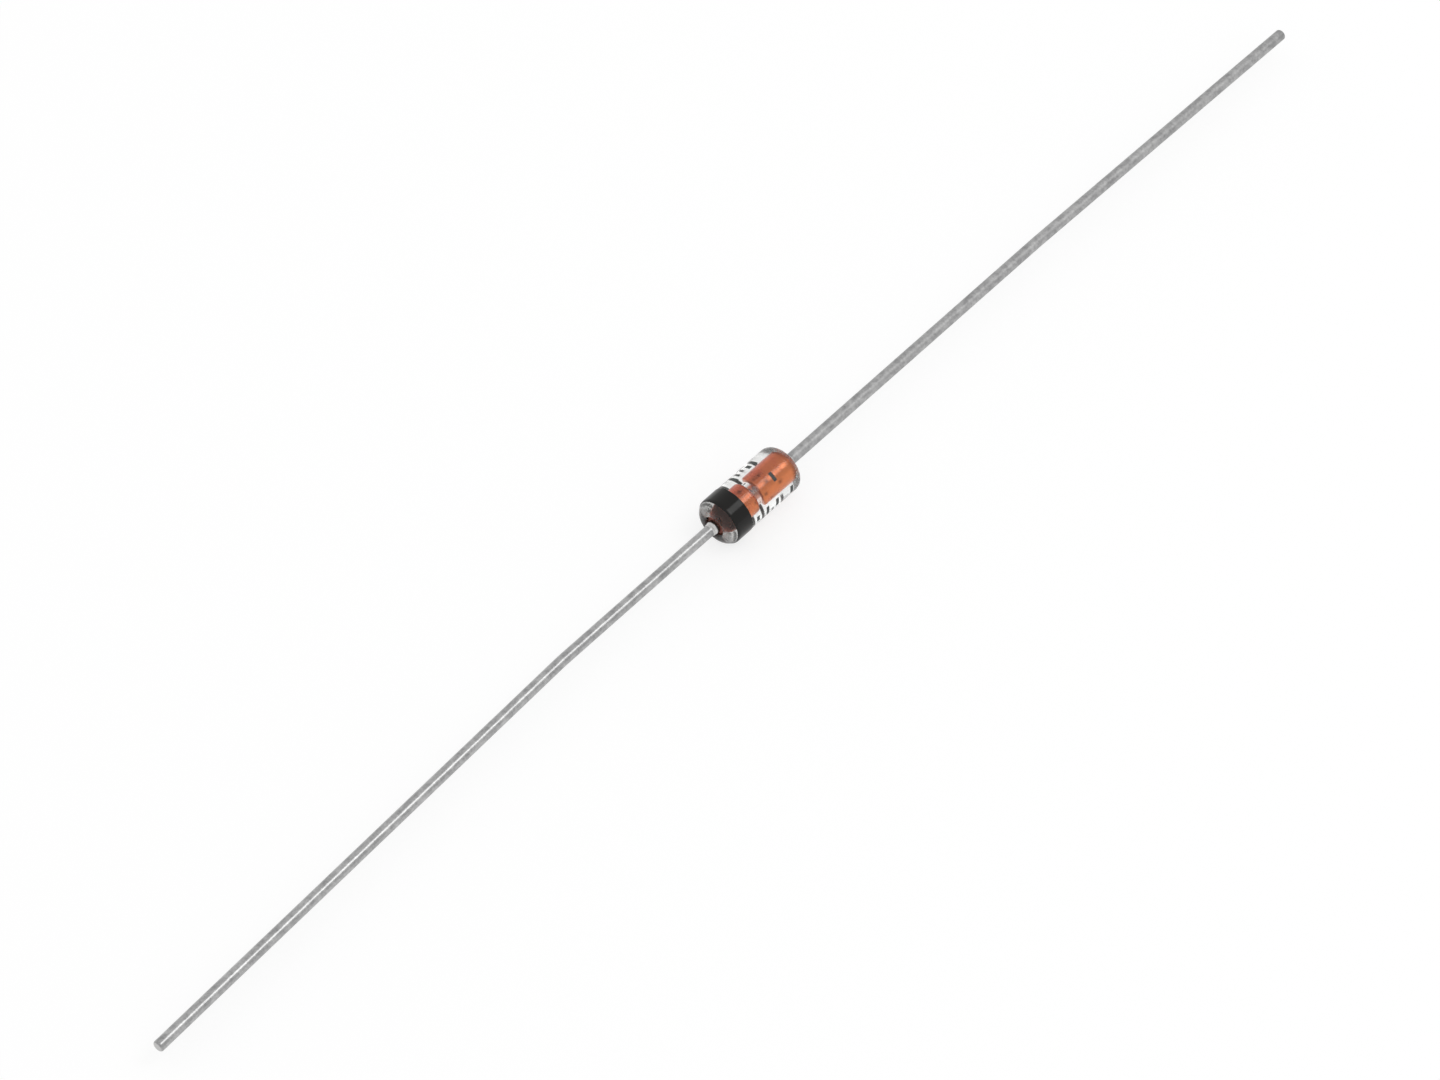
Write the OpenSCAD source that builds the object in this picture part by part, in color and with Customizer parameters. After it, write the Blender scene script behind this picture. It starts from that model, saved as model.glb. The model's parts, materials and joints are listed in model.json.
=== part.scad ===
// Glass zener diode with two axial wire leads.
// A clear glass sleeve is fused over two copper-clad slugs. The silicon chip sits between the
// slugs, its back on the cathode slug and its silver bump on the anode slug. Each slug is
// butt-welded to a tinned wire lead, and a painted band marks the cathode end.
// The lead axis is X, with the cathode towards -X. The origin is the centre of the glass.

/* [Glass sleeve] */
// Length of the glass from end to end
glass_length = 3.9; // [3.2:0.1:5]
// Outside diameter of the glass
glass_diameter = 1.9; // [1.7:0.05:2.3]
// Fire-polished rounding of the outer edge at each end
shoulder_radius = 0.4; // [0.2:0.02:0.46]
// Rounding of the mouth where the glass meets each slug
mouth_radius = 0.08; // [0.04:0.01:0.12]

/* [Slugs] */
// Diameter of the slugs, which is also the bore of the glass
slug_diameter = 0.8; // [0.7:0.02:0.9]
// Depth of each slug's outer face inside the end of the glass
slug_setback = 0.08; // [0.02:0.01:0.2]
// Rounding of the slugs' edges
slug_edge_radius = 0.12; // [0.02:0.01:0.14]

/* [Chip] */
// Side of the square silicon chip
chip_width = 0.3; // [0.24:0.02:0.4]
// Thickness of the silicon chip
chip_thickness = 0.14; // [0.1:0.01:0.25]
// Diameter of the silver bump on the chip
bump_diameter = 0.2; // [0.12:0.02:0.24]
// Height of the silver bump, between the chip and the anode slug
bump_height = 0.07; // [0.05:0.01:0.1]
// Distance of the gap for the chip from the middle of the glass, towards the cathode
chip_offset = 0.05; // [-0.2:0.01:0.2]

/* [Leads] */
// Diameter of the tinned wire
lead_diameter = 0.44; // [0.36:0.02:0.48]
// Length of each lead along the wire, from the end of the glass to the tip
lead_length = 29; // [26:0.5:38]
// Rounding of the cut tips
tip_radius = 0.09; // [0.03:0.01:0.15]
// Straight stretch of the cathode lead from the glass to its bend
cathode_straight = 8.1; // [3:0.1:12]
// Angle of the bend in the cathode lead
cathode_bend_angle = 2.3; // [0.5:0.1:6]
// Straight stretch of the anode lead from the glass to its bend
anode_straight = 14.4; // [3:0.1:18]
// Angle of the bend in the anode lead
anode_bend_angle = 1; // [0.5:0.1:6]

/* [Weld collars] */
// Diameter of the upset collar where each lead is welded to its slug
collar_diameter = 0.54; // [0.5:0.02:0.58]
// Length of the collar, outwards from the slug
collar_length = 0.28; // [0.16:0.02:0.4]
// Rounding of the collar's outer edge
collar_edge_radius = 0.14; // [0.06:0.01:0.15]

/* [Cathode band] */
// Width of the painted band
band_width = 0.78; // [0.5:0.02:1.4]
// Gap between the band and the cathode end of the glass, where the band laps onto the shoulder
band_margin = 0.26; // [0.2:0.02:0.6]
// Thickness of the paint
band_thickness = 0.02; // [0.01:0.005:0.04]

/* [Hidden] */
$fn = 96;

glass_radius = glass_diameter / 2;
slug_radius = slug_diameter / 2;
lead_radius = lead_diameter / 2;
collar_radius = collar_diameter / 2;

// The roundings at the ends of the glass share the wall between them.
glass_wall = glass_radius - slug_radius;
shoulder = min(shoulder_radius, glass_wall - mouth_radius);
glass_end = glass_length / 2;
barrel_end = glass_end - shoulder;

// The chip and its bump fill the gap between the slugs. Each face is measured from the middle of the
// glass, the anode's towards +X and the cathode's towards -X.
chip_gap = chip_thickness + bump_height;
anode_slug_face = chip_gap / 2 - chip_offset;
cathode_slug_face = chip_gap / 2 + chip_offset;
slug_outer_face = glass_end - slug_setback;

// Turns a shape drawn along +Z to lie along +X.
module along_x() {
    rotate([0, 90, 0]) children();
}

// Turns a shape drawn on the anode side to the cathode side, keeping its bend on the same side.
module on_cathode_side() {
    mirror([1, 0, 0]) children();
}

// Quarter disc that fills a rounded corner, with its square corner at the origin.
module corner_round(radius) {
    intersection() {
        circle(radius);
        square(radius);
    }
}

// Section of a turned rod from the axis to its wall, with its far outer edge rounded.
module rod_section(radius, length, edge_radius) {
    square([radius - edge_radius, length]);
    square([radius, length - edge_radius]);
    translate([radius - edge_radius, length - edge_radius]) corner_round(edge_radius);
}

// Section of the glass wall from the bore to its outer face, or to paint that lies on that face.
module wall_section(paint = 0) {
    translate([slug_radius, 0]) square([glass_wall - shoulder, glass_end + paint]);
    translate([slug_radius, 0]) square([glass_wall + paint, barrel_end]);
    translate([glass_radius - shoulder, barrel_end]) corner_round(shoulder + paint);
}

// One end of the sleeve's section: the wall with its shoulder, and the mouth cut away at the bore.
module sleeve_end_section() {
    difference() {
        wall_section();
        translate([slug_radius, glass_end - mouth_radius]) difference() {
            square(mouth_radius);
            translate([mouth_radius, 0]) circle(mouth_radius);
        }
    }
}

module glass_sleeve() {
    color("lightcyan", 0.4) along_x() rotate_extrude() {
        sleeve_end_section();
        mirror([0, 1]) sleeve_end_section();
    }
}

// A slug with both edges rounded, drawn along +Z from its inner face to its outer face.
module slug(inner_face) {
    half_length = (slug_outer_face - inner_face) / 2;
    translate([0, 0, inner_face + half_length]) rotate_extrude() {
        rod_section(slug_radius, half_length, slug_edge_radius);
        mirror([0, 1]) rod_section(slug_radius, half_length, slug_edge_radius);
    }
}

module anode_slug() {
    color("chocolate") along_x() slug(anode_slug_face);
}

module cathode_slug() {
    color("chocolate") on_cathode_side() along_x() slug(cathode_slug_face);
}

// The chip lies with its back against the cathode slug.
module silicon_chip() {
    color("dimgray") translate([chip_thickness / 2 - cathode_slug_face, 0, 0])
        cube([chip_thickness, chip_width, chip_width], center = true);
}

// The bump stands on the chip, with its rounded top pressed flat on the anode slug.
module silver_bump() {
    color("silver") translate([anode_slug_face - bump_height, 0, 0]) along_x()
        rotate_extrude() rod_section(bump_diameter / 2, bump_height, bump_height / 2);
}

// A block that fills one side of a bend's mitre plane: +1 beyond the bend, -1 before it.
// The plane halves the bend's angle and passes through the middle of the wire.
module mitre_side(bend_angle, side) {
    block = 4 * lead_diameter;
    rotate([0, 0, -bend_angle / 2]) translate([side * block / 2, 0, 0]) cube(block, center = true);
}

// A lead drawn from the end of the glass along +X, with one slight bend towards -Y.
// Two straight runs of wire meet on the mitre plane of the bend. The first run stands on the
// slug, inside the collar that welding pushes up round it, and the second ends in the cut tip.
module lead(straight, bend_angle) {
    overrun = lead_diameter;
    difference() {
        translate([-slug_setback, 0, 0]) along_x() rotate_extrude() {
            rod_section(collar_radius, collar_length, collar_edge_radius);
            square([lead_radius, slug_setback + straight + overrun]);
        }
        translate([straight, 0, 0]) mitre_side(bend_angle, 1);
    }
    translate([straight, 0, 0]) difference() {
        rotate([0, 0, -bend_angle]) translate([-overrun, 0, 0]) along_x() rotate_extrude()
            rod_section(lead_radius, overrun + lead_length - straight, tip_radius);
        mitre_side(bend_angle, -1);
    }
}

module anode_lead() {
    color("silver") translate([glass_end, 0, 0]) lead(anode_straight, anode_bend_angle);
}

module cathode_lead() {
    color("silver") on_cathode_side() translate([glass_end, 0, 0])
        lead(cathode_straight, cathode_bend_angle);
}

// The band is painted on the barrel of the glass and laps onto the cathode shoulder.
module cathode_band() {
    band_inner_edge = glass_end - band_margin - band_width;
    color("black") on_cathode_side() along_x() rotate_extrude() intersection() {
        translate([slug_radius, band_inner_edge]) square([glass_wall + band_thickness, band_width]);
        difference() {
            wall_section(band_thickness);
            wall_section();
        }
    }
}

glass_sleeve();
cathode_slug();
anode_slug();
silicon_chip();
silver_bump();
cathode_lead();
anode_lead();
cathode_band();
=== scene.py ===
import json
from math import acos, atan2, cos, degrees, pi, radians, sin, tan

import bmesh
import bpy
from mathutils import Matrix, Vector


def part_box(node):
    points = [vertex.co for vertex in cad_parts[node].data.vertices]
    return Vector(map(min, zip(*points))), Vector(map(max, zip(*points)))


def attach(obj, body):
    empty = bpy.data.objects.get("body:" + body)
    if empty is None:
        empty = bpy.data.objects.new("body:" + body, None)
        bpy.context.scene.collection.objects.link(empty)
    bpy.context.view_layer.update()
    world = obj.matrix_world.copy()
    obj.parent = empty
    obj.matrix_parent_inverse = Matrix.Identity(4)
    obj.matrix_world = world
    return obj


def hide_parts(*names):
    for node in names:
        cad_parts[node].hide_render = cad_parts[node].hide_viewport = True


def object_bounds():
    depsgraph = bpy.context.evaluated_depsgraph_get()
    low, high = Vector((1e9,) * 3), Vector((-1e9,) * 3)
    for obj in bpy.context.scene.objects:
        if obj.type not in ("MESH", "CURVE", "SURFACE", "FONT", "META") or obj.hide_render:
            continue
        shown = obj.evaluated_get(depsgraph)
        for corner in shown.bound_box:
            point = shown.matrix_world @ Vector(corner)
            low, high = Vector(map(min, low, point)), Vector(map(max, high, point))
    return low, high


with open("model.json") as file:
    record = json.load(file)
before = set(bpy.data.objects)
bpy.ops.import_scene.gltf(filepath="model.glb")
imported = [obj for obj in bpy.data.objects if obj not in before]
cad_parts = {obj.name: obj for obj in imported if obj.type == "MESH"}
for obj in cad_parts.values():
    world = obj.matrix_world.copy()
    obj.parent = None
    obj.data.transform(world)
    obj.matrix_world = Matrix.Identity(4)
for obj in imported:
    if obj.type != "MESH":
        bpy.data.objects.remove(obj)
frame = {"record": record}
cad_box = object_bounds()
mm = 0.001

# Leads
# Round copper-clad steel wire, tinned after it was drawn and cut to length at the tip. Each lead is
# butt-welded to its slug, which pushes up a collar round the joint, and handling has bent both a little.
lead_mounts = {mount["name"]: mount for mount in frame["record"]["mounts"]}
wire_radius = lead_mounts["anode_lead"]["dims"]["r_mm"] * mm
tip_radius = 0.09 * mm
collar_length = 0.28 * mm
collar_edge_radius = 0.14 * mm
collar_fillet = 0.05 * mm
bend_radius = 12 * mm
bend_steps = 12


def arc(x, radius, turn, start, end, steps=8):
    """Points (x, radius) on an arc of radius turn about (x, radius), by degrees from the +X direction."""
    angles = [radians(start + (end - start) * step / steps) for step in range(steps + 1)]
    return [(x + turn * cos(angle), radius + turn * sin(angle)) for angle in angles]


def straight_path(distance):
    """Point and direction at that distance along the lead axis."""
    return Vector((distance, 0, 0)), Vector((1, 0, 0))


def held(outline, ring, grip=0.02 * mm):
    """The outline with a point near both ends of each long stretch, which keeps its shading straight."""
    least_stretch = 3 * grip
    points = []
    for start, end in zip(outline, outline[1:] + outline[:1] if ring else outline[1:]):
        points.append(start)
        run = Vector(end) - Vector(start)
        if run.length > least_stretch:
            step = grip * run.normalized()
            points += [tuple(Vector(start) + step), tuple(Vector(end) - step)]
    return points if ring else points + outline[-1:]


def turned(name, outline, path=straight_path, ring=False, around=96):
    """A round piece turned from (distance, radius) points about a path, closed on it or as a ring."""
    form = bmesh.new()
    rings = []
    for distance, radius in held(outline, ring):
        centre, ahead = path(distance)
        aside = Vector((-ahead.y, ahead.x, 0))
        turns = [2 * pi * step / around for step in range(around)] if radius > 0 else [0]
        spokes = [cos(turn) * aside + sin(turn) * Vector((0, 0, 1)) for turn in turns]
        rings.append([form.verts.new(centre + radius * spoke) for spoke in spokes])
    for low, high in zip(rings, rings[1:] + rings[:1] if ring else rings[1:]):
        for step in range(around):
            corners = [low[step % len(low)], low[(step + 1) % around % len(low)],
                       high[(step + 1) % around % len(high)], high[step % len(high)]]
            form.faces.new(list(dict.fromkeys(corners)))
    return finished(name, form)


def finished(name, form, sharp_above=40):
    """An object with the formed mesh, faces outwards, smooth apart from its sharp edges."""
    bmesh.ops.recalc_face_normals(form, faces=form.faces)
    mesh = bpy.data.meshes.new(name)
    form.to_mesh(mesh)
    form.free()
    mesh.shade_smooth()
    mesh.set_sharp_from_angle(angle=radians(sharp_above))
    piece = bpy.data.objects.new(name, mesh)
    bpy.context.collection.objects.link(piece)
    return piece


def fitted(piece, node, material):
    """The piece stands for that part of the frame, in its own material."""
    piece.data.materials.append(material)
    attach(piece, "root")
    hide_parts(node)


class Signal:
    """One output of a node. Sums on it add Math nodes, and node() adds any other node to its tree."""

    def __init__(self, socket):
        self.socket = socket

    def node(self, kind, settings=None, inputs=None, output=0):
        tree = self.socket.id_data
        made = tree.nodes.new(kind)
        for name, value in (settings or {}).items():
            setattr(made, name, value)
        for name, value in (inputs or {}).items():
            if isinstance(value, Signal):
                tree.links.new(value.socket, made.inputs[name])
            else:
                made.inputs[name].default_value = value
        return Signal(made.outputs[output])

    def math(self, operation, first, second=0.0):
        return self.node("ShaderNodeMath", {"operation": operation}, {0: first, 1: second})

    def __add__(self, other):
        return self.math("ADD", self, other)

    def __radd__(self, other):
        return self.math("ADD", other, self)

    def __sub__(self, other):
        return self.math("SUBTRACT", self, other)

    def __rsub__(self, other):
        return self.math("SUBTRACT", other, self)

    def __mul__(self, other):
        return self.math("MULTIPLY", self, other)

    def __rmul__(self, other):
        return self.math("MULTIPLY", other, self)

    def __truediv__(self, other):
        return self.math("DIVIDE", self, other)

    def __abs__(self):
        return self.math("ABSOLUTE", self)

    def axis(self, index):
        """The coordinate of this place along X, Y or Z."""
        return self.node("ShaderNodeSeparateXYZ", inputs={0: self}, output=index)

    def step(self, none_at, full_at):
        """A smooth step from 0 to 1, as this value goes from one to the other."""
        ends = {"Value": self, "From Min": none_at, "From Max": full_at}
        return self.node("ShaderNodeMapRange", {"interpolation_type": "SMOOTHSTEP"}, ends)

    def noise(self, grain, detail=2.0, stretch=(1, 1, 1)):
        """Noise with grains of that size in metres, drawn out along an axis whose stretch is under 1."""
        place = self.node("ShaderNodeMapping", inputs={"Vector": self, "Scale": stretch})
        grains = {"Vector": place, "Scale": 1 / grain, "Detail": detail}
        return self.node("ShaderNodeTexNoise", inputs=grains)

    def between(self, low, high):
        """A colour from low to high as this value goes from 0 to 1. Sockets 6 and 7 take the colours."""
        colours = {"Factor": self, 6: low, 7: high}
        return self.node("ShaderNodeMix", {"data_type": "RGBA"}, colours, output=2)

    def bump(self, depth):
        """Surface normals for this height, where a height of 1 stands that deep in metres."""
        return self.node("ShaderNodeBump", inputs={"Height": self, "Distance": depth})


def finish(name, varying, **constants):
    """A material whose constant sockets are set, and whose varying ones come from Object coordinates."""
    material = bpy.data.materials.new(name)
    material.use_nodes = True
    tree = material.node_tree
    shader = tree.nodes["Principled BSDF"]
    for socket, value in constants.items():
        shader.inputs[socket.replace("_", " ")].default_value = value
    place = Signal(tree.nodes.new("ShaderNodeTexCoord").outputs["Object"])
    for socket, signal in varying(place).items():
        tree.links.new(signal.socket, shader.inputs[socket])
    return material


slug_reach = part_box("anode_slug")[1].x
bead_overrun = 0.01 * mm
bead_reach = slug_reach + collar_length + bead_overrun
bead_fade = 0.08 * mm
tip_reach = min(-cad_box[0].x, cad_box[1].x)
cut_depth = 0.04 * mm
dark_tin = (0.36, 0.36, 0.362, 1)
pale_tin = (0.61, 0.61, 0.607, 1)
# The bead's lighter tin is partly a painted highlight.
melted_tin_and_highlight = (0.72, 0.71, 0.7, 1)
cut_steel = (0.62, 0.615, 0.61, 1)


def tin_plate(place):
    """Dull plating in cloudy patches and specks, over lines that the drawing die left along the wire.
    The bead at the weld was melted, and is smooth, with a lighter colour that is partly a painted
    highlight. The anode's wire is the duller one.
    The cut at the tip shows the bright steel."""
    cloud = place.noise(0.3 * mm, detail=4)
    speckle = place.noise(0.1 * mm)
    die_lines = place.noise(0.05 * mm, stretch=(0.02, 1, 1))
    along = place.axis(0)
    melted = abs(along).step(bead_reach + bead_fade, bead_reach)
    duller = along.step(-bead_reach, bead_reach)
    cut = abs(along).step(tip_reach - cut_depth, tip_reach - cut_depth / 2)
    dull = (2 * cloud + 1.2 * speckle - 1.1).between(dark_tin, pale_tin)
    # The melted bead, lighter in part as a painted highlight.
    plated = melted.between(dull, melted_tin_and_highlight)
    return {
        "Base Color": cut.between(plated, cut_steel),
        "Roughness": 0.18 + 0.14 * cloud + 0.05 * die_lines - 0.08 * melted + 0.22 * duller,
        "Normal": (0.7 * die_lines + 0.5 * cloud).bump(0.003 * mm),
    }


tinned_wire = finish("tinned_wire", tin_plate, Metallic=1.0)


def lead(node, side):
    """One lead, from the slug at that side of the glass (+1 or -1) to its cut tip."""
    mount = lead_mounts[node]
    low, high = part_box(node)
    collar_radius = high.z
    slug_face = min(abs(low.x), abs(high.x))
    middle = Vector(mount["pos_m"])
    outwards = Vector(mount["axis"])
    bend_angle = atan2(abs(outwards.y), abs(outwards.x))
    half_run = mount["dims"]["length_mm"] / 2 * mm
    corner = abs((middle - half_run * outwards).x)
    bend_reach = bend_radius * tan(bend_angle / 2)
    bend_start = corner - slug_face - bend_reach
    bend_length = bend_radius * bend_angle
    tip = bend_start + bend_length + 2 * half_run + tip_radius - bend_reach

    def path(distance):
        turned_by = min(max(distance - bend_start, 0) / bend_radius, bend_angle)
        past = max(distance - bend_start - bend_length, 0)
        x = slug_face + min(distance, bend_start) + bend_radius * sin(turned_by) + past * cos(turned_by)
        y = -bend_radius * (1 - cos(turned_by)) - past * sin(turned_by)
        return Vector((side * x, y, 0)), Vector((side * cos(turned_by), -sin(turned_by), 0))

    collar_edge = collar_length - collar_edge_radius
    collar_rim = collar_radius - collar_edge_radius
    bend = [bend_start + bend_length * step / bend_steps for step in range(bend_steps + 1)]
    outline = [(0, 0), (0, collar_radius)]
    outline += arc(collar_edge, collar_rim, collar_edge_radius, 90, 40)
    outline += arc(collar_length + collar_fillet, wire_radius + collar_fillet, collar_fillet, 210, 270)
    outline += [(distance, wire_radius) for distance in bend]
    outline += arc(tip - tip_radius, wire_radius - tip_radius, tip_radius, 90, 0)
    outline += [(tip, 0)]
    return turned(node + "_wire", outline, path, around=64)


for lead_node, lead_side in (("cathode_lead", -1), ("anode_lead", 1)):
    fitted(lead(lead_node, lead_side), lead_node, tinned_wire)

# Slugs
# Studs of nickel-iron with a thick copper coat, chosen to shrink with the glass. The coat was
# oxidised before sealing, so the metal that shows through the glass is a clear orange red.
slug_edge_radius = 0.12 * mm
slug_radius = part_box("anode_slug")[1].z
chip_gap = (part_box("cathode_slug")[1].x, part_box("anode_slug")[0].x)
chip_middle = (chip_gap[0] + chip_gap[1]) / 2
half_gap = (chip_gap[1] - chip_gap[0]) / 2
burnt_depth = 0.06 * mm
pale_face_depth = 0.06 * mm
# Painted light: from here outwards the cathode's end, which the band shades, is painted paler.
painted_light_from = -1.0 * mm
painted_light_beyond = -1.4 * mm
paler_to_anode = 0.1 / slug_reach
# Painted shade: the copper is darker towards the far side and paler towards the front.
painted_light_to_front = 0.45 / slug_radius
thick_oxide_and_shade = (0.52, 0.1, 0.058, 1)
thin_oxide_and_light = (0.74, 0.212, 0.068, 1)
painted_light_copper = (0.95, 0.45, 0.34, 1)
chip_face_copper = (0.78, 0.38, 0.28, 1)
burnt_copper = (0.2, 0.06, 0.045, 1)


def oxidised_copper(place):
    """Copper under a red oxide in cloudy patches, paler towards the anode. Painted shade darkens its far
    side and painted light lifts its front. The faces at the chip are paler, and the cathode's outer end,
    which the band shades, is painted paler as painted light. The faces at the mouths of the glass are
    burnt dark."""
    film = place.noise(0.5 * mm, detail=3)
    turning = place.noise(0.03 * mm, stretch=(1, 0.05, 0.05))
    along = place.axis(0)
    burnt = (slug_reach - abs(along)).step(burnt_depth, 0.0)
    at_chip = (abs(along - chip_middle) - half_gap).step(pale_face_depth, 0.0)
    # Cloudy oxide, paler towards the anode, plus painted light on the front and painted shade behind.
    oxide_and_painted_light = film + paler_to_anode * along - painted_light_to_front * place.axis(1)
    sealed = oxide_and_painted_light.between(thick_oxide_and_shade, thin_oxide_and_light)
    # Painted light on the cathode's outer end.
    painted_light_end = along.step(painted_light_from, painted_light_beyond).between(sealed, painted_light_copper)
    paler_face = at_chip.between(painted_light_end, chip_face_copper)
    return {
        "Base Color": burnt.between(paler_face, burnt_copper),
        "Roughness": 0.23 + 0.1 * film + 0.2 * burnt,
        "Normal": (turning + film).bump(0.002 * mm),
    }


copper = finish("oxidised_copper", oxidised_copper, Metallic=0.9)


def slug(node):
    """A stud with rounded edges, from one flat face to the other."""
    low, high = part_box(node)
    edge = slug_edge_radius
    outline = [(low.x, 0)]
    outline += arc(low.x + edge, high.z - edge, edge, 180, 90)
    outline += arc(high.x - edge, high.z - edge, edge, 90, 0)
    outline += [(high.x, 0)]
    return turned(node + "_stud", outline)


for slug_node in ("cathode_slug", "anode_slug"):
    fitted(slug(slug_node), slug_node, copper)

# Chip and bump
# The zener junction is a sawn square of silicon that lies with its back on the cathode slug. A plated
# silver bump stands on its front and is pressed flat by the anode slug when the glass shrinks.
sawn_edge = 0.008 * mm
saw_groove = (0.04, 0.011, 0.005, 1)
saw_ridge = (0.1, 0.03, 0.014, 1)
dark_grain = (0.62, 0.61, 0.58, 1)
pale_grain = (0.86, 0.85, 0.81, 1)


def sawn_silicon(place):
    """Dark silicon under a thin brown passivation, with the saw's lines across its sides."""
    saw_lines = place.noise(0.012 * mm, stretch=(1, 0.05, 0.05))
    return {
        "Base Color": saw_lines.between(saw_groove, saw_ridge),
        "Roughness": 0.35 + 0.25 * saw_lines,
        "Normal": saw_lines.bump(0.001 * mm),
    }


def plated_silver(place):
    """Matt plated silver, in fine grains."""
    grain = place.noise(0.015 * mm, detail=3)
    return {
        "Base Color": grain.between(dark_grain, pale_grain),
        "Roughness": 0.3 + 0.2 * grain,
        "Normal": grain.bump(0.002 * mm),
    }


chip_low, chip_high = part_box("silicon_chip")
chip_form = bmesh.new()
bmesh.ops.create_cube(chip_form, size=1)
for corner_vert in chip_form.verts:
    sides = zip(chip_low, chip_high, corner_vert.co)
    corner_vert.co = [low if at < 0 else high for low, high, at in sides]
bmesh.ops.bevel(chip_form, geom=chip_form.edges[:], offset=sawn_edge, segments=2, affect="EDGES")
chip = finished("zener_chip", chip_form)
fitted(chip, "silicon_chip", finish("sawn_silicon", sawn_silicon, Specular_IOR_Level=0.2))

bump_low, bump_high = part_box("silver_bump")
bump_edge = (bump_high.x - bump_low.x) / 2
bump_outline = [(bump_low.x, 0), (bump_low.x, bump_high.z)]
bump_outline += arc(bump_high.x - bump_edge, bump_high.z - bump_edge, bump_edge, 90, 0)
bump_outline += [(bump_high.x, 0)]
contact_bump = turned("contact_bump", bump_outline)
fitted(contact_bump, "silver_bump", finish("plated_silver", plated_silver, Metallic=1.0))

# Glass sleeve
# A cut length of clear lead-glass tube, fused over the slugs in a furnace. Melting has rounded its ends
# into shoulders with small folds, and at the chip the glass has run in round the slugs' edges.
glass_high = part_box("glass_sleeve")[1]
glass_radius = glass_high.z
shoulder_radius = 0.4 * mm
mouth_radius = 0.08 * mm
fold_depth = 0.004 * mm
seal_depth = 0.004 * mm
bore_radius = slug_radius - seal_depth
lap_angle = 10
lap_turn = slug_edge_radius - seal_depth
lap_rim = bore_radius - lap_turn
tint_depth = 0.02 * mm
# Painted reflection: the bore at the chip gets a metallic copper tint on its front side.
painted_reflection_reach = half_gap + slug_edge_radius
painted_reflection_from = -0.12 * mm
painted_reflection_beyond = -0.2 * mm
painted_reflection_share = 0.5
clear_tint = (0.97, 0.985, 0.975, 1)
# Painted shade: a dark tint on the cathode's melted end of the glass.
painted_shade_tint = (0.35, 0.34, 0.33, 1)
oxide_tint = (0.7, 0.35, 0.25, 1)


def clear_glass(place):
    """Clear glass with the slight waves of a drawn tube. Its melted ends are a little matt, the anode's
    more so, and the cathode's is tinted dark as a painted shade. Oxide from the slugs has tinted and
    dulled its bore, and at the chip the front of the bore has a metallic copper tint, a painted
    reflection."""
    waves = place.noise(0.6 * mm, stretch=(0.4, 1, 1))
    along = place.axis(0)
    melted = abs(along).step(glass_high.x - shoulder_radius, glass_high.x - shoulder_radius / 2)
    anode_side = along.step(0.0, glass_high.x)
    # Painted shade over the cathode's melted end.
    painted_shade = melted * (1 - anode_side)
    across = place.node("ShaderNodeVectorMath", {"operation": "MULTIPLY"}, {0: place, 1: (0, 1, 1)})
    from_axis = across.node("ShaderNodeVectorMath", {"operation": "LENGTH"}, {0: across}, output="Value")
    tinted = from_axis.step(bore_radius + tint_depth, bore_radius)
    at_chip = abs(along - chip_middle).step(painted_reflection_reach + tint_depth, painted_reflection_reach)
    # Painted reflection on the front of the bore at the chip.
    film = tinted * at_chip * place.axis(1).step(painted_reflection_from, painted_reflection_beyond)
    return {
        "Base Color": tinted.between(painted_shade.between(clear_tint, painted_shade_tint), oxide_tint),
        "Roughness": 0.09 + (0.04 + 0.25 * anode_side) * melted + 0.1 * tinted,
        "Metallic": painted_reflection_share * film,
        "Normal": waves.bump(0.008 * mm),
    }


def uneven(turn):
    """A fixed wave round the lead axis, from -1 to 1, with no beat that shows."""
    return 0.45 * sin(13 * turn + 1.3) + 0.35 * sin(22 * turn + 0.4) + 0.2 * sin(5 * turn)


mouth_rim = bore_radius + mouth_radius
shoulder_rim = glass_radius - shoulder_radius
glass_end = arc(glass_high.x - mouth_radius, mouth_rim, mouth_radius, -90, 0)
glass_end += arc(glass_high.x - shoulder_radius, shoulder_rim, shoulder_radius, 0, 90, steps=24)
glass_outline = glass_end + [(-x, radius) for x, radius in reversed(glass_end)]
glass_outline += arc(chip_gap[0] - slug_edge_radius, lap_rim, lap_turn, 90, lap_angle)
glass_outline += arc(chip_gap[1] + slug_edge_radius, lap_rim, lap_turn, 180 - lap_angle, 90)
glass_sleeve = turned("glass_tube", glass_outline, ring=True, around=360)
for vert in glass_sleeve.data.vertices:
    out_from_axis = Vector((0, vert.co.y, vert.co.z)).length
    over_dome = min(max((out_from_axis - mouth_rim) / (glass_radius - mouth_rim), 0), 1)
    fold = fold_depth * sin(pi * over_dome) * (uneven(2 * atan2(vert.co.z, vert.co.y)) - 1)
    vert.co.x += fold if vert.co.x > 0 else -fold
clear = finish("clear_glass", clear_glass, IOR=1.51, Transmission_Weight=1.0)
fitted(glass_sleeve, "glass_sleeve", clear)

# Cathode band
# A stripe of black enamel, rolled on round the glass at the cathode end and baked. It is glossy and
# opaque, and its edges wander a little where the roller lifted.
paint_low, paint_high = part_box("cathode_band")
paint_middle = (paint_low.x + paint_high.x) / 2
paint_thickness = paint_high.z - glass_radius
paint_edge = 0.008 * mm
paint_wander = 0.008 * mm
paint_grip = 0.004 * mm
barrel_end = shoulder_radius - glass_high.x
peel_hollow = (0.002, 0.0015, 0.0008, 1)
peel_crest = (0.004, 0.003, 0.0018, 1)


def black_enamel(place):
    """Glossy black with the slight orange peel of a rolled coat."""
    peel = place.noise(0.4 * mm)
    return {
        "Base Color": peel.between(peel_hollow, peel_crest),
        "Roughness": 0.1 + 0.08 * peel,
        "Normal": peel.bump(0.003 * mm),
    }


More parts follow.
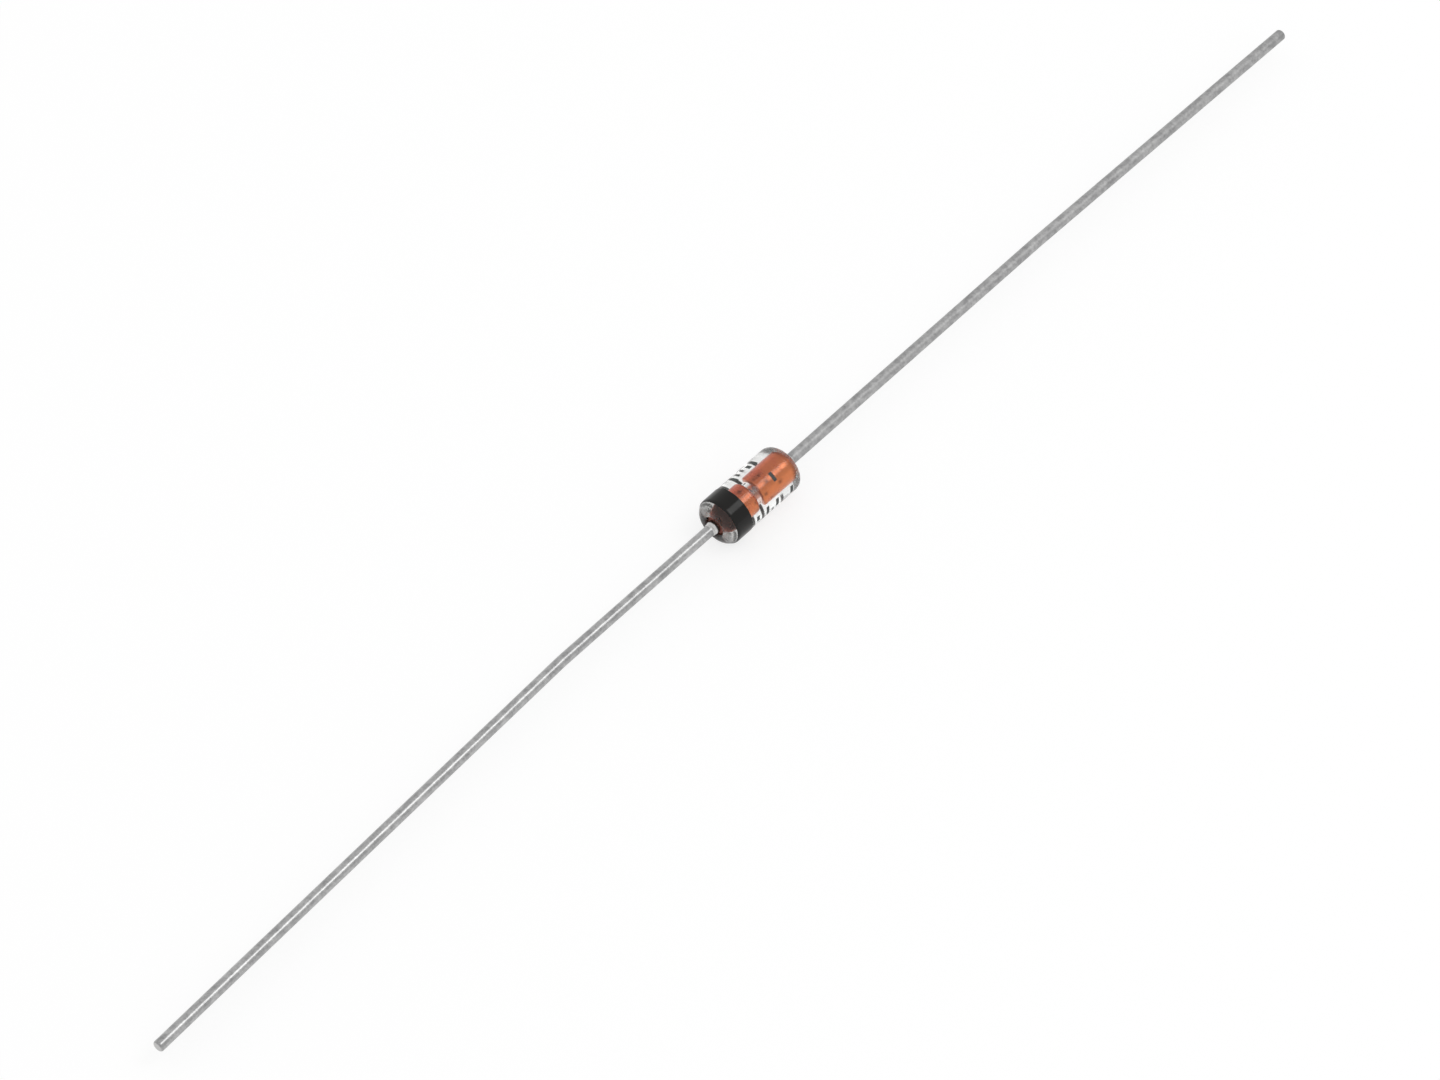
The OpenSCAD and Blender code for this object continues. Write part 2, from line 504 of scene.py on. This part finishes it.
def lapped(radius):
    """Points over the shoulder at that turning radius, from the barrel to the outer edge of the paint."""
    edge_angle = degrees(acos((paint_low.x - barrel_end) / radius))
    return arc(barrel_end, shoulder_rim, radius, 90, edge_angle)


band_outline = [(paint_high.x, glass_radius - paint_grip)]
band_outline += arc(paint_high.x - paint_edge, paint_high.z - paint_edge, paint_edge, 0, 90, steps=4)
band_outline += lapped(shoulder_radius + paint_thickness)[:-1]
band_outline += lapped(shoulder_radius + paint_thickness / 2)[-1:]
band_outline += lapped(shoulder_radius - paint_grip)[::-1]
band = turned("painted_band", band_outline, ring=True, around=180)
for vert in band.data.vertices:
    edge_side = 1 if vert.co.x > paint_middle else -1
    wander = (1 + uneven(edge_side * atan2(vert.co.z, vert.co.y))) / 2
    vert.co.x -= edge_side * paint_wander * wander
enamel = finish("black_enamel", black_enamel, Specular_IOR_Level=0.35)
fitted(band, "cathode_band", enamel)

# Ink marks
# Short blocks and dots of dark ink, stamped in rows round the barrel of the glass and baked on. They
# are set out flat, with some left out by a fixed seed, and wrapped round the barrel.
mark_rows = 8
mark_columns = 6
mark_seed = 2013
mark_sizes = {
    "Barrel radius": glass_radius,
    "Dot side": 0.11 * mm,
    "Block width": 0.143 * mm,
    "Block length": 0.38 * mm,
    "Short block length": 0.266 * mm,
    "Row pitch": 0.26 * mm,
    "Ink thickness": 0.008 * mm,
    "Middle": (paint_high.x - barrel_end) / 2,
    "Share": 0.5,
}
full_ink = (0.035, 0.04, 0.037, 1)
thin_ink = (0.09, 0.1, 0.094, 1)


def stamped_ink(place):
    """Thin dark ink, a little patchy."""
    patch = place.noise(0.06 * mm)
    return {
        "Base Color": patch.between(full_ink, thin_ink),
        "Roughness": 0.4 + 0.2 * patch,
    }


def stamped_marks(ink):
    """A node tree that sets out the marks flat, and wraps them round a barrel of the given radius."""
    tree = bpy.data.node_groups.new("stamped_marks", "GeometryNodeTree")
    for name in mark_sizes:
        tree.interface.new_socket(name, in_out="INPUT", socket_type="NodeSocketFloat")
    tree.interface.new_socket("Seed", in_out="INPUT", socket_type="NodeSocketInt")
    tree.interface.new_socket("Marks", in_out="OUTPUT", socket_type="NodeSocketGeometry")
    given = tree.nodes.new("NodeGroupInput")
    size = {name: Signal(given.outputs[name]) for name in mark_sizes}
    seed = Signal(given.outputs["Seed"])
    barrel = size["Barrel radius"]

    def plate(across, around, cuts):
        """A flat piece of ink, cut in strips so that it can follow the barrel."""
        sides = {"X": size[across], "Y": size[around], "Z": size["Ink thickness"]}
        extent = seed.node("ShaderNodeCombineXYZ", inputs=sides)
        strips = {"Size": extent, "Vertices X": 3, "Vertices Y": cuts}
        return seed.node("GeometryNodeMeshCube", inputs=strips)

    dot = plate("Dot side", "Dot side", 5)
    long_block = plate("Block width", "Block length", 13)
    short_block = plate("Block width", "Short block length", 9)
    shapes = seed.node("GeometryNodeGeometryToInstance")
    for shape in (dot, long_block, short_block):
        tree.links.new(shape.socket, shapes.socket.node.inputs[0])
    grid = seed.node("GeometryNodeMeshGrid", inputs={
        "Size X": size["Row pitch"] * (mark_rows - 1),
        "Size Y": barrel * (2 * pi * (1 - 1 / mark_columns)),
        "Vertices X": mark_rows,
        "Vertices Y": mark_columns,
    })
    chance = {"Probability": size["Share"], "Seed": seed}
    kept = seed.node("FunctionNodeRandomValue", {"data_type": "BOOLEAN"}, chance, output=3)
    # Sockets 4 and 5 are the least and the greatest whole number.
    choice = {4: 0, 5: 2, "Seed": seed + 1}
    kind = seed.node("FunctionNodeRandomValue", {"data_type": "INT"}, choice, output=2)
    placed = seed.node("GeometryNodeInstanceOnPoints", inputs={
        "Points": grid,
        "Selection": kept,
        "Instance": shapes,
        "Pick Instance": True,
        "Instance Index": kind,
    })
    flat = seed.node("GeometryNodeRealizeInstances", inputs={"Geometry": placed})
    at = seed.node("GeometryNodeInputPosition")
    turn = at.axis(1) / barrel
    out = barrel + at.axis(2)
    round_barrel = at.node("ShaderNodeCombineXYZ", inputs={
        "X": at.axis(0) + size["Middle"],
        "Y": out * turn.math("SINE", turn),
        "Z": out * turn.math("COSINE", turn),
    })
    wrapped = seed.node("GeometryNodeSetPosition", inputs={"Geometry": flat, "Position": round_barrel})
    inked = seed.node("GeometryNodeSetMaterial", inputs={"Geometry": wrapped, "Material": ink})
    result = tree.nodes.new("NodeGroupOutput")
    tree.links.new(inked.socket, result.inputs["Marks"])
    return tree


mark_tree = stamped_marks(finish("stamped_ink", stamped_ink))
carrier = bpy.data.objects.new("mark_layout", bpy.data.meshes.new("mark_layout"))
bpy.context.collection.objects.link(carrier)
layout = carrier.modifiers.new("stamped_marks", "NODES")
layout.node_group = mark_tree
for item in mark_tree.interface.items_tree:
    if item.in_out == "INPUT":
        layout[item.identifier] = mark_seed if item.name == "Seed" else mark_sizes[item.name]
evaluated = carrier.evaluated_get(bpy.context.evaluated_depsgraph_get())
marks = bpy.data.objects.new("ink_marks", bpy.data.meshes.new_from_object(evaluated))
bpy.data.objects.remove(carrier)
bpy.context.collection.objects.link(marks)
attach(marks, "root")

# Floor and sky
# A plain white table under an even sky. The table keeps the soft shadow of the diode, and it looks pale
# in the metal and the glass too.
floor_half_width = 2.0
floor_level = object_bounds()[0].z
paper_colour = (0.8, 0.8, 0.8, 1)
shadow_colour = (0.3, 0.3, 0.3, 1)
white = (1, 1, 1, 1)
glow_strength = 0.765
glow_in_metal = 0.6
sky_strength = 0.7

floor_form = bmesh.new()
bmesh.ops.create_grid(floor_form, size=floor_half_width)
bmesh.ops.translate(floor_form, verts=floor_form.verts, vec=(0, 0, floor_level))
floor = finished("floor", floor_form)

paper = bpy.data.materials.new("white_paper")
paper.use_nodes = True
paper_tree = paper.node_tree
paper_tree.nodes.clear()
rays = paper_tree.nodes.new("ShaderNodeLightPath")
camera_ray = Signal(rays.outputs["Is Camera Ray"])
metal_ray = Signal(rays.outputs["Is Glossy Ray"])
glass_ray = Signal(rays.outputs["Is Transmission Ray"])
in_view = camera_ray.math("MINIMUM", camera_ray + glow_in_metal * metal_ray + glass_ray, 1.0)
plain = in_view.node("ShaderNodeBsdfDiffuse", inputs={"Color": paper_colour})
shaded = in_view.node("ShaderNodeBsdfDiffuse", inputs={"Color": shadow_colour})
glow = in_view.node("ShaderNodeEmission", inputs={"Color": white, "Strength": glow_strength})
bright = in_view.node("ShaderNodeAddShader", inputs={0: shaded, 1: glow})
surface = in_view.node("ShaderNodeMixShader", inputs={0: in_view, 1: plain, 2: bright})
paper_out = paper_tree.nodes.new("ShaderNodeOutputMaterial")
paper_tree.links.new(surface.socket, paper_out.inputs["Surface"])
floor.data.materials.append(paper)

world = bpy.data.worlds.new("even_sky")
world.use_nodes = True
sky = world.node_tree.nodes["Background"]
sky.inputs["Color"].default_value = white
sky.inputs["Strength"].default_value = sky_strength
bpy.context.scene.world = world

# Camera
# The camera looks down on the cathode end through a long lens, at the viewing angle of the picture.
# It stands a little off the line through the glass, so that both tips are in the frame.
camera_azimuth = radians(-48.307)
camera_elevation = radians(52)
camera_distance = 193.1 * mm
camera_offset = (-1.0775 * mm, -1.6223 * mm)
sensor_width_mm = 36
focal_length_mm = 133.12
nearest_view = 10 * mm

backwards = Vector((sin(camera_azimuth) * cos(camera_elevation),
                    -cos(camera_azimuth) * cos(camera_elevation), sin(camera_elevation)))
rightwards = Vector((cos(camera_azimuth), sin(camera_azimuth), 0))
upwards = backwards.cross(rightwards)
lens = bpy.data.cameras.new("camera")
lens.sensor_width = sensor_width_mm
lens.lens = focal_length_mm
lens.clip_start = nearest_view
camera = bpy.data.objects.new("camera", lens)
camera.location = camera_distance * backwards + camera_offset[0] * rightwards + camera_offset[1] * upwards
camera.rotation_euler = backwards.to_track_quat("Z", "Y").to_euler()
bpy.context.collection.objects.link(camera)
bpy.context.scene.camera = camera
bpy.context.scene.view_settings.view_transform = "Standard"

# Lamp
# One large soft lamp hangs high over the diode, towards the anode end and leaning to the camera's side.
# It draws a bright line along the wires and the slugs.
lamp_distance = 300 * mm
lamp_width = 104 * mm
lamp_height = 130 * mm
lamp_watts = 0.082
lamp_along = 0.33
lamp_lean = radians(24)

lamp_across = (1 - lamp_along ** 2) ** 0.5
towards_lamp = Vector((lamp_along, -lamp_across * sin(lamp_lean), lamp_across * cos(lamp_lean)))
lamp_side = (Vector((1, 0, 0)) - lamp_along * towards_lamp).normalized()
lamp_axes = Matrix((lamp_side, towards_lamp.cross(lamp_side), towards_lamp)).transposed()
softbox = bpy.data.lights.new("softbox", "AREA")
softbox.shape = "RECTANGLE"
softbox.size = lamp_width
softbox.size_y = lamp_height
softbox.energy = lamp_watts
lamp = bpy.data.objects.new("softbox", softbox)
lamp.location = lamp_distance * towards_lamp
lamp.rotation_euler = lamp_axes.to_euler()
bpy.context.collection.objects.link(lamp)
